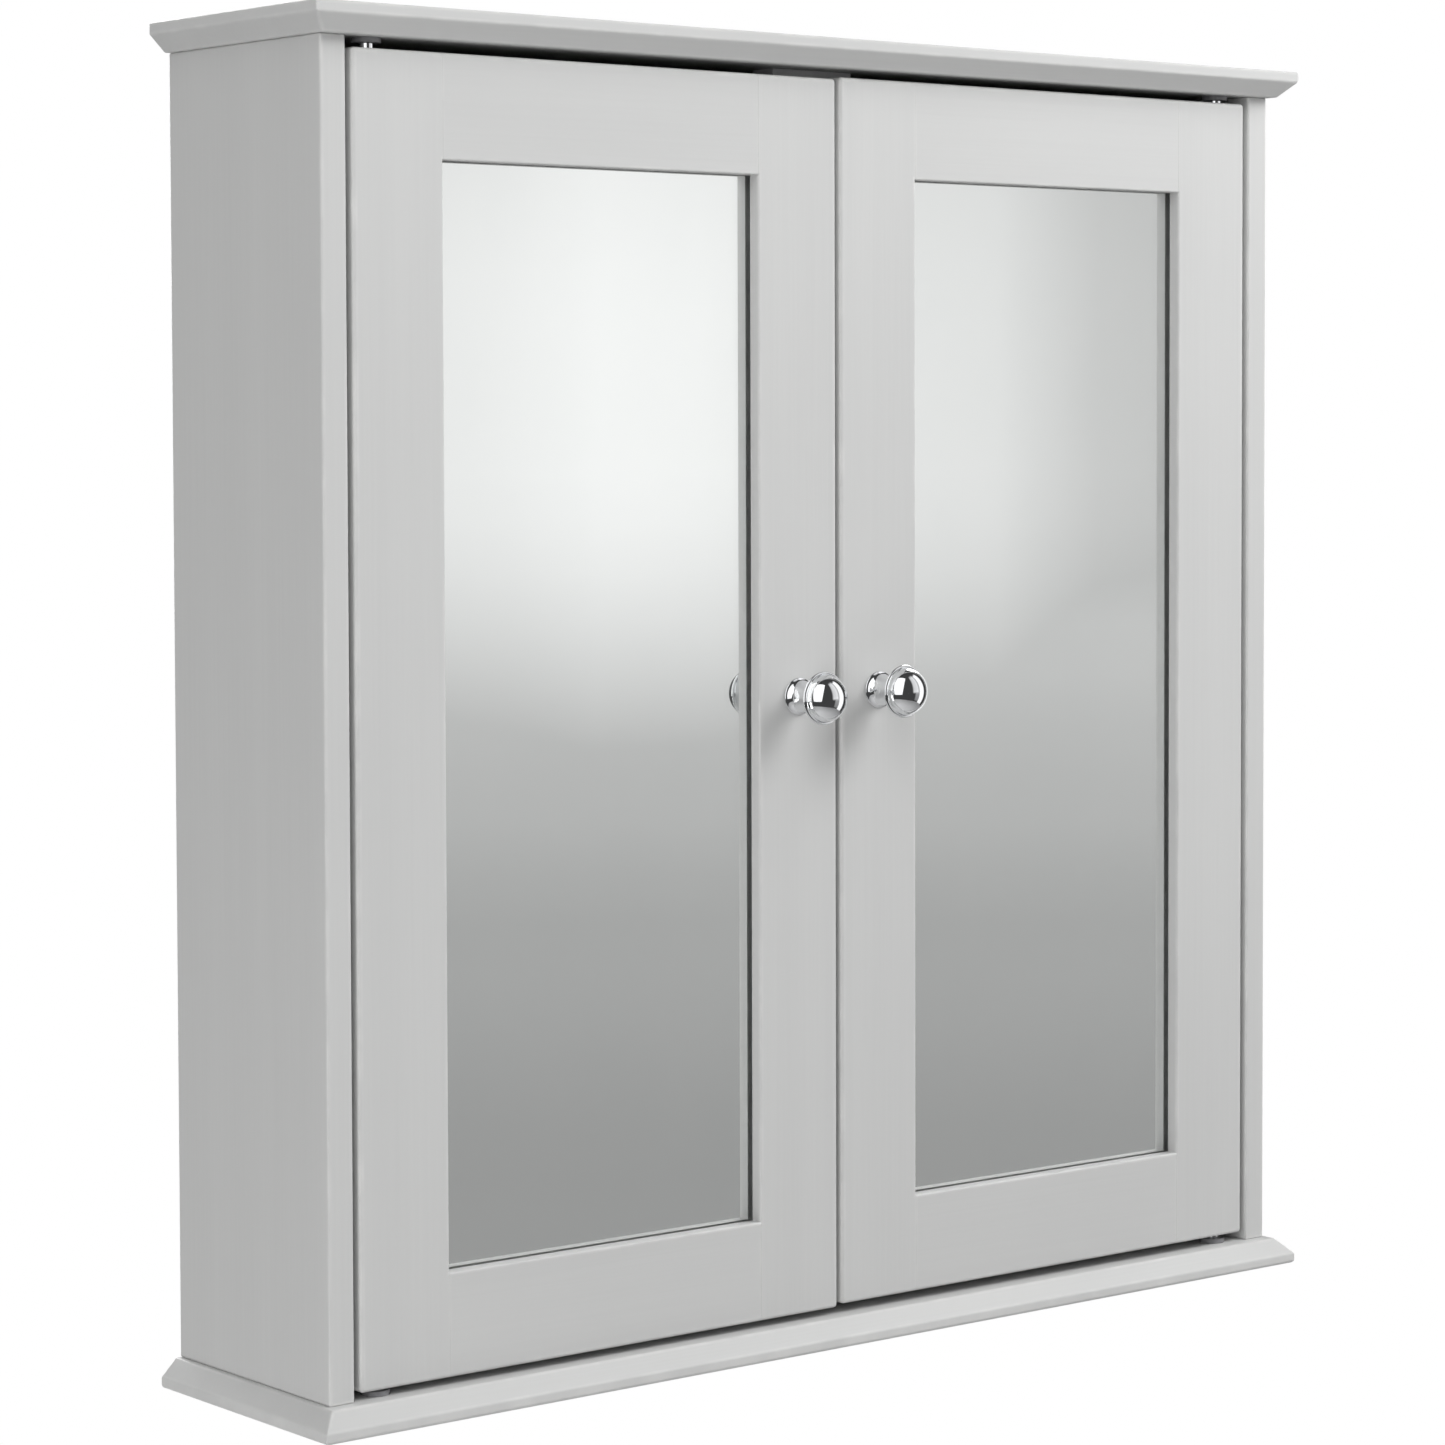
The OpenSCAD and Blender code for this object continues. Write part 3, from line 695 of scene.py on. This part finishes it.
def frameRing(low, high, openLow, openHigh):
    # the door frame in one piece, made by stepping a face inwards and back through the opening
    bm = bmesh.new()
    bmesh.ops.create_grid(bm, x_segments=1, y_segments=1, size=1)

    def setLoop(face, fromLow, fromHigh, y):
        middle = face.calc_center_median()
        spots = [(v, v.co.x > middle.x, v.co.z > middle.z) for v in face.verts]
        for vert, right, upper in spots:
            vert.co = (fromHigh[0] if right else fromLow[0], y, fromHigh[1] if upper else fromLow[1])

    bmesh.ops.rotate(bm, matrix=Matrix.Rotation(math.radians(90), 3, "X"), verts=bm.verts)
    core = bm.faces[:][0]
    setLoop(core, (low.x, low.z), (high.x, high.z), low.y)
    easing = door["easing"]
    angles = [i / door["easingSteps"] * math.pi / 2 for i in range(door["easingSteps"] + 1)]
    profile = [(-easing * (1 - math.sin(a)), easing * (1 - math.cos(a))) for a in angles]
    profile += [(0, door["lip"]), (-door["rebate"], door["lip"]), (-door["rebate"], high.y - low.y)]
    for grow, depth in profile:
        bmesh.ops.inset_individual(bm, faces=[core], thickness=0.1 * mm)
        nearLow = (openLow.x + grow, openLow.z + grow)
        nearHigh = (openHigh.x - grow, openHigh.z - grow)
        setLoop(core, nearLow, nearHigh, low.y + depth)
    inner = list(core.edges)
    bmesh.ops.delete(bm, geom=[core], context="FACES_ONLY")

    def atCorner(vert):
        edgeX = min(abs(vert.co.x - low.x), abs(vert.co.x - high.x)) < 1e-6
        edgeZ = min(abs(vert.co.z - low.z), abs(vert.co.z - high.z)) < 1e-6
        return edgeX and edgeZ

    outer = [e for e in bm.edges if all(atCorner(v) for v in e.verts)]
    made = bmesh.ops.extrude_edge_only(bm, edges=outer)["geom"]
    rear = [v for v in made if isinstance(v, bmesh.types.BMVert)]
    bmesh.ops.translate(bm, vec=(0, high.y - low.y, 0), verts=rear)
    rearEdges = [e for e in made if isinstance(e, bmesh.types.BMEdge)]
    rearEdges = [e for e in rearEdges if all(abs(v.co.y - high.y) < 1e-7 for v in e.verts)]
    bmesh.ops.bridge_loops(bm, edges=rearEdges + inner)
    bmesh.ops.recalc_face_normals(bm, faces=bm.faces)
    outline = [e for e in bm.edges if all(atCorner(v) for v in e.verts)]
    behind = [e for e in outline if all(abs(v.co.y - high.y) < 1e-6 for v in e.verts)]
    roundEdges(bm, [e for e in outline if e not in behind], door["arris"], door["arrisSteps"])
    behind = [e for e in bm.edges if all(abs(v.co.y - high.y) < 1e-6 for v in e.verts)
              and e.calc_face_angle(0) > 1 and outsideOpening(e, openLow, openHigh)]
    roundEdges(bm, behind, door["rearArris"], 2)
    return bm


def outsideOpening(edge, openLow, openHigh):
    middle = (edge.verts[0].co + edge.verts[1].co) / 2
    slack = 2 * door["rebate"]
    acrossX = openLow.x - slack < middle.x < openHigh.x + slack
    return not (acrossX and openLow.z - slack < middle.z < openHigh.z + slack)


def partOf(ring, planes):
    # the part of the frame on the kept side of each plane, closed where it was cut
    bm = ring.copy()
    for point, normal in planes:
        geom = bm.verts[:] + bm.edges[:] + bm.faces[:]
        cut = bmesh.ops.bisect_plane(bm, geom=geom, dist=1e-7, plane_co=point, plane_no=normal,
                                     clear_outer=True)
        rim = [e for e in cut["geom_cut"] if isinstance(e, bmesh.types.BMEdge)]
        bmesh.ops.holes_fill(bm, edges=rim, sides=0)
        bm.normal_update()
        start, facing = Vector(point), Vector(normal)
        caps = [f for f in bm.faces if all(abs((v.co - start).dot(facing)) < 1e-6 for v in f.verts)]
        capEdges = {e for f in caps for e in f.edges if e.is_manifold and e.calc_face_angle() > 0.5}
        roundEdges(bm, list(capEdges), door["jointArris"], 2)
    bmesh.ops.recalc_face_normals(bm, faces=bm.faces)
    bmesh.ops.dissolve_limit(bm, angle_limit=math.radians(0.5), verts=bm.verts, edges=bm.edges,
                             use_dissolve_boundaries=False)
    markWear(bm, door["wear"])
    return bm


def bushHoles(hand, middleZ):
    # a bored seat for each bush, its mouth carried past the end of the stile
    holes = []
    gap, mouth = door["bushGap"], door["bushMouth"]
    for low, high in islandsOf(f"{hand}_door_bushes"):
        seat = (low + high) / 2
        seat.z += mouth / 2 if seat.z > middleZ else -mouth / 2
        length = high.z - low.z + 2 * gap + mouth
        holes.append(rodMesh(seat, (0, 0, 1), (high.x - low.x) / 2 + gap, length, 64))
    return joined(holes)


def doorFrame(hand):
    members = ("hinge_stile", "latch_stile", "top_rail", "bottom_rail")
    boxes = {part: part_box(f"{hand}_{part}") for part in members}
    low = Vector(map(min, *[b[0] for b in boxes.values()]))
    high = Vector(map(max, *[b[1] for b in boxes.values()]))
    openLow = Vector((boxes["top_rail"][0].x, low.y, boxes["bottom_rail"][1].z))
    openHigh = Vector((boxes["top_rail"][1].x, high.y, boxes["top_rail"][0].z))
    ring = frameRing(low, high, openLow, openHigh)
    body = bodyOf[hand]
    leftJoint = (openLow.x + door["jointGap"], 0, 0)
    rightJoint = (openHigh.x - door["jointGap"], 0, 0)
    middle = (openLow + openHigh) / 2
    stiles = ("hinge_stile", "latch_stile") if hand == "left" else ("latch_stile", "hinge_stile")
    betweenStiles = [(leftJoint, (-1, 0, 0)), (rightJoint, (1, 0, 0))]
    parts = {
        stiles[0]: ([(leftJoint, (1, 0, 0))], paintUp),
        stiles[1]: ([(rightJoint, (-1, 0, 0))], paintUp),
        "top_rail": ([(middle, (0, 0, -1))] + betweenStiles, paintAcross),
        "bottom_rail": ([(middle, (0, 0, 1))] + betweenStiles, paintAcross),
    }
    for part, (planes, finish) in parts.items():
        node = f"{hand}_{part}"
        wood = partOf(ring, planes)
        if part == "hinge_stile":
            wood = cutAway(wood, bushHoles(hand, middle.z))
        finishPiece(f"{node}_wood", wood, finish, body, [node])
    ring.free()


for hand in hands:
    doorFrame(hand)
print("door frames ready")


# knobs

knob = {
    "foot": 8.3 * mm,
    "footLip": 0.5 * mm,
    "footTop": 1.0 * mm,
    "neck": 3.9 * mm,
    "neckSteps": 14,
    "flare": 3,
    "headBack": 10.2 * mm,
    "headFlare": 5,
    "rimThick": 1.3 * mm,
    "domeDepth": 8.8 * mm,
    "domeInset": 1.3 * mm,
    "domeSteps": 20,
    "ledge": 0.35 * mm,
}


def arc(centre, radius, fromDegrees, toDegrees, steps):
    angles = [math.radians(fromDegrees + (toDegrees - fromDegrees) * i / steps) for i in range(steps + 1)]
    return [(centre[0] + radius * math.cos(a), centre[1] + radius * math.sin(a)) for a in angles]


def knobPiece(hand):
    low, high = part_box(f"{hand}_knob")
    rim = (high.x - low.x) / 2
    reach = high.y - low.y
    centre = Vector(((low.x + high.x) / 2, high.y, (low.z + high.z) / 2))
    rimBack = reach - knob["domeDepth"] - knob["rimThick"]
    foot, neck, lip = knob["foot"], knob["neck"], knob["footLip"]
    profile = [(0, 0), (foot - 0.3 * mm, 0)]
    profile += arc((foot - lip, lip), lip, -60, 90, 5)
    for i in range(1, knob["neckSteps"] + 1):
        t = i / knob["neckSteps"]
        flare = (foot - 0.9 * mm - neck) * (1 - t) ** knob["flare"]
        spread = (knob["headBack"] - neck) * t ** knob["headFlare"]
        profile.append((neck + flare + spread, knob["footTop"] + t * (rimBack - knob["footTop"])))
    halfRim = knob["rimThick"] / 2
    profile += arc((rim - halfRim, rimBack + halfRim), halfRim, -90, 90, 8)
    shoulder = rim - knob["domeInset"]
    base = reach - knob["domeDepth"]
    profile.append((shoulder + knob["ledge"], base - 0.1 * mm))
    profile.append((shoulder, base + knob["ledge"]))
    depth = knob["domeDepth"] - knob["ledge"]
    for i in range(1, knob["domeSteps"]):
        a = i / knob["domeSteps"] * math.pi / 2
        profile.append((shoulder * math.cos(a), reach - depth * (1 - math.sin(a))))
    profile.append((0, reach))
    bm = turnedMesh(profile, centre, (0, -1, 0), 96)
    finishPiece(f"{hand}_turned_knob", bm, chrome, bodyOf[hand], [f"{hand}_knob"], 50, False)


for hand in hands:
    knobPiece(hand)
print("knobs ready")


# screws

# shares of the head radius, and of the head height for the depth
screwStyle = {"slotWidth": 0.28, "slotLength": 1.15, "slotDepth": 0.6}


def panScrew(place, axis, radius, headRadius, headHeight, length):
    # domed head with a cross recess, its head standing along the axis
    tip = radius * 0.55
    profile = [(0, -length), (tip, -length), (radius, -length + radius), (radius, 0), (headRadius, 0)]
    profile += [(headRadius * math.cos(a), headHeight * (0.35 + 0.65 * math.sin(a)))
                for a in [i / 8 * math.pi / 2 for i in range(8)]]
    profile.append((0, headHeight))
    bm = turnedMesh(profile, (0, 0, 0), (0, 0, 1), 28)
    wide = screwStyle["slotWidth"] * headRadius
    long = screwStyle["slotLength"] * headRadius
    floorZ = headHeight * (1 - screwStyle["slotDepth"])
    top = headHeight * 1.5
    arms = boxMesh((-wide / 2, -long / 2, floorZ), (wide / 2, long / 2, top))
    bm = cutAway(bm, arms)
    bm = cutAway(bm, boxMesh((-long / 2, -wide / 2, floorZ), (long / 2, wide / 2, top)))
    turn = Vector((0, 0, 1)).rotation_difference(Vector(axis)).to_matrix().to_4x4()
    bmesh.ops.transform(bm, matrix=Matrix.Translation(place) @ turn, verts=bm.verts)
    return bm


def screwsFor(node, axis, headHeight, radius, name, body):
    # one detailed screw where each plain one stands
    parts = []
    direction = Vector(axis)
    along = max(range(3), key=lambda i: abs(direction[i]))
    across = (along + 1) % 3
    for low, high in islandsOf(node):
        headRadius = (high[across] - low[across]) / 2
        length = high[along] - low[along] - headHeight
        place = (low + high) / 2
        place[along] = (high[along] - headHeight) if direction[along] > 0 else (low[along] + headHeight)
        parts.append(panScrew(place, axis, radius, headRadius, headHeight, length))
    finishPiece(name, joined(parts), zincPlate, body, [node], 35, False)


# head height and shank radius
smallScrew = (1.6 * mm, 1.5 * mm)
knobScrew = (2.5 * mm, 2.0 * mm)
for hand in hands:
    body = bodyOf[hand]
    screwsFor(f"{hand}_clip_screws", (0, 1, 0), *smallScrew, f"{hand}_clip_screw_set", body)
    screwsFor(f"{hand}_strike_screw", (0, 1, 0), *smallScrew, f"{hand}_strike_cross_screw", body)
    screwsFor(f"{hand}_knob_screw", (0, 1, 0), *knobScrew, f"{hand}_knob_cross_screw", body)
screwsFor("catch_screws", (0, 0, -1), *smallScrew, "catch_cross_screws", "carcase")
print("screws ready")


# hardware kept from the frame, with its arrises eased

def eased(node, radius, material, body, degrees=50):
    bm = cadCopy(node)
    roundEdges(bm, sharpEdges(bm, degrees), radius, 2)
    finishPiece(f"{node}_eased", bm, material, body, [node], 35)


easedPieces = {
    "pivot_bushes": (0.25 * mm, greyPlastic, "grey_plastic", "carcase"),
    "catch_body": (0.35 * mm, palePlastic, "grey_plastic", "carcase"),
    "catch_magnets": (0.25 * mm, magnetBlack, "magnet", "carcase"),
    "catch_pole_plates": (0.12 * mm, zincPlate, "steel", "carcase"),
    "shelf_pins": (0.3 * mm, zincPlate, "steel", "carcase"),
    "cams": (0.2 * mm, castZinc, "zinc", "carcase"),
}
for hand in hands:
    easedPieces[f"{hand}_mirror_clips"] = (0.2 * mm, castZinc, "zinc", bodyOf[hand])
    easedPieces[f"{hand}_strike_plate"] = (0.2 * mm, zincPlate, "steel", bodyOf[hand])
    easedPieces[f"{hand}_door_bushes"] = (0.25 * mm, greyPlastic, "grey_plastic", bodyOf[hand])
    easedPieces[f"{hand}_pivot_pins"] = (0.3 * mm, chrome, "chrome", bodyOf[hand])
for node, (radius, material, slot, body) in easedPieces.items():
    eased(node, radius, material, body)
print("hardware ready")


# mirror glass

pane = {"arris": 0.4 * mm, "silverGap": 0.02 * mm, "lipGap": 0.05 * mm}


def mirrorGlass(hand):
    low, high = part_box(f"{hand}_mirror_glass")
    bm = boxMesh(low + Vector((0, pane["lipGap"], 0)), high - Vector((0, pane["silverGap"], 0)))
    roundEdges(bm, list(bm.edges), pane["arris"], 2)
    finishPiece(f"{hand}_glass_pane", bm, clearGlass, bodyOf[hand],
                [f"{hand}_mirror_glass"], 5, False)


for hand in hands:
    mirrorGlass(hand)
print("mirrors ready")


# what stays as it is in the frame only takes its finish

keptFinishes = {
    "back_panel": backBoard, "panel_pins": zincPlate, "carcase_dowels": beechWood, "cam_bolts": zincPlate,
    "left_frame_dowels": beechWood, "right_frame_dowels": beechWood,
    "left_mirror_silver": silver, "right_mirror_silver": silver,
    "left_mirror_backing": plainBoard, "right_mirror_backing": plainBoard,
}
for node, material in keptFinishes.items():
    mesh = frame["nodes"][node].data
    if mesh.materials:
        for index in range(len(mesh.materials)):
            mesh.materials[index] = material
    else:
        mesh.materials.append(material)
print("finishes ready")
